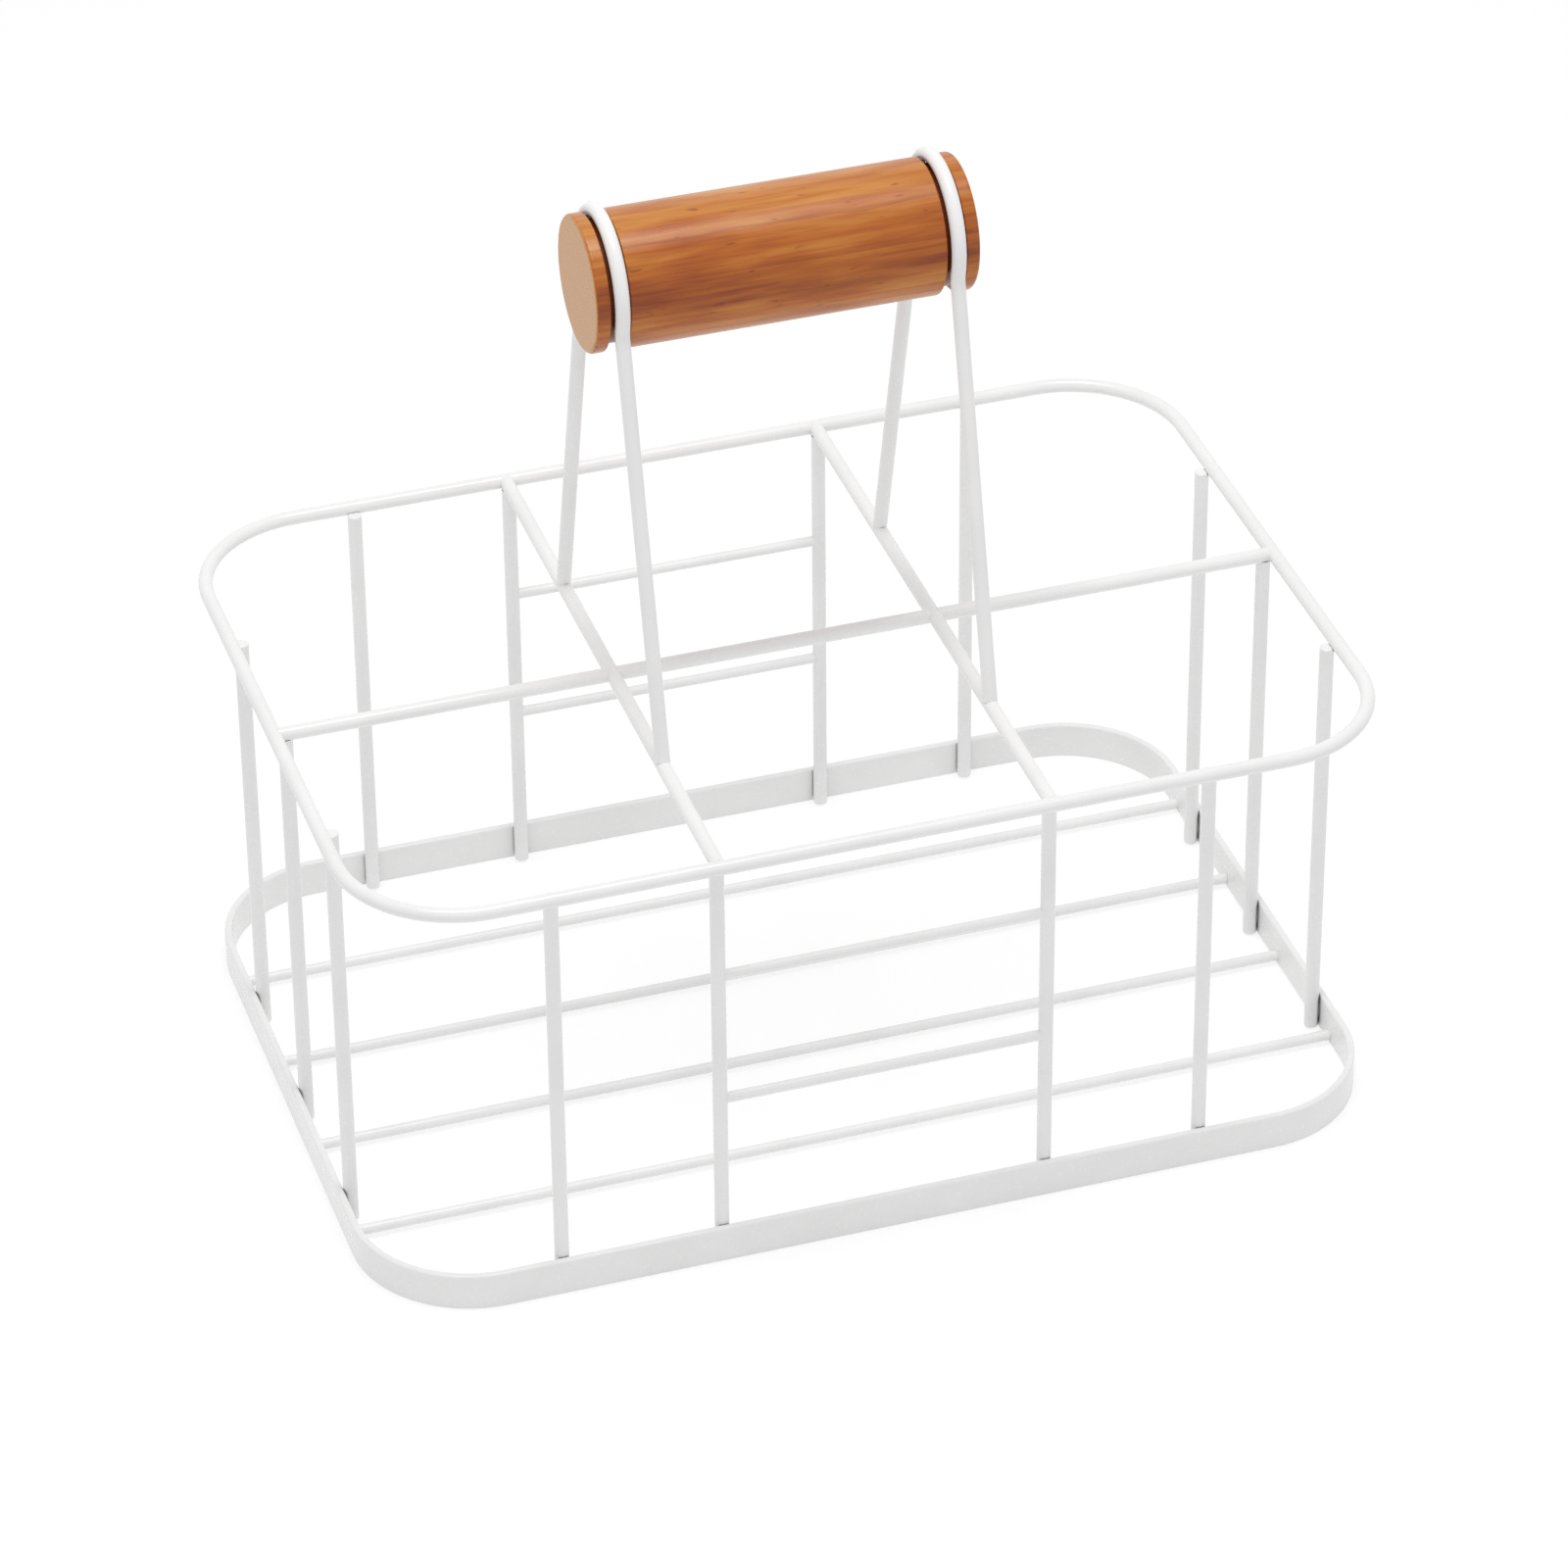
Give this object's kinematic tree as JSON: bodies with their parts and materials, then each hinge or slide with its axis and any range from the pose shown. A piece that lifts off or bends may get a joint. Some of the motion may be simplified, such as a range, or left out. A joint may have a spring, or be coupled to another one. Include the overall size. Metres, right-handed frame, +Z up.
{
  "type": "bottle caddy",
  "caption": "Open welded wire carrier with bottle pockets on a flat-strip foot and a turned bamboo grip that rolls in its wire handle loops.",
  "frame": {"origin": "centre of the footprint, on the table", "axes": "+X along the grip and the long walls, +Y from the front wall to the back wall, +Z up"},
  "size_m": [0.29, 0.206, 0.2722],
  "materials": {
    "white_coated_steel": "smooth satin white powder coat on steel wire and strip",
    "bamboo": "carbonised bamboo with fine grain along the grip, satin lacquer"
  },
  "bodies": {
    "frame": {"base_band": "white_coated_steel", "top_rim": "white_coated_steel", "front_upright_1": "white_coated_steel", "front_upright_2": "white_coated_steel", "front_upright_3": "white_coated_steel", "front_upright_4": "white_coated_steel", "back_upright_1": "white_coated_steel", "back_upright_2": "white_coated_steel", "back_upright_3": "white_coated_steel", "back_upright_4": "white_coated_steel", "left_upright_1": "white_coated_steel", "left_upright_2": "white_coated_steel", "left_upright_3": "white_coated_steel", "right_upright_1": "white_coated_steel", "right_upright_2": "white_coated_steel", "right_upright_3": "white_coated_steel", "floor_wire_1": "white_coated_steel", "floor_wire_2": "white_coated_steel", "floor_wire_3": "white_coated_steel", "floor_wire_4": "white_coated_steel", "left_centre_wire": "white_coated_steel", "middle_centre_wire": "white_coated_steel", "right_centre_wire": "white_coated_steel", "left_cross_wire": "white_coated_steel", "right_cross_wire": "white_coated_steel", "front_guard_upper": "white_coated_steel", "front_guard_lower": "white_coated_steel", "back_guard_upper": "white_coated_steel", "back_guard_lower": "white_coated_steel", "left_handle_loop": "white_coated_steel", "right_handle_loop": "white_coated_steel"},
    "grip": {"bamboo_grip": "bamboo"}
  },
  "joints": [
    {"name": "grip_roll", "type": "hinge", "parent": "frame", "child": "grip", "pos_m": [-0.0026, -0.0041, 0.2514], "axis": [1, 0, 0], "continuous": true}
  ]
}
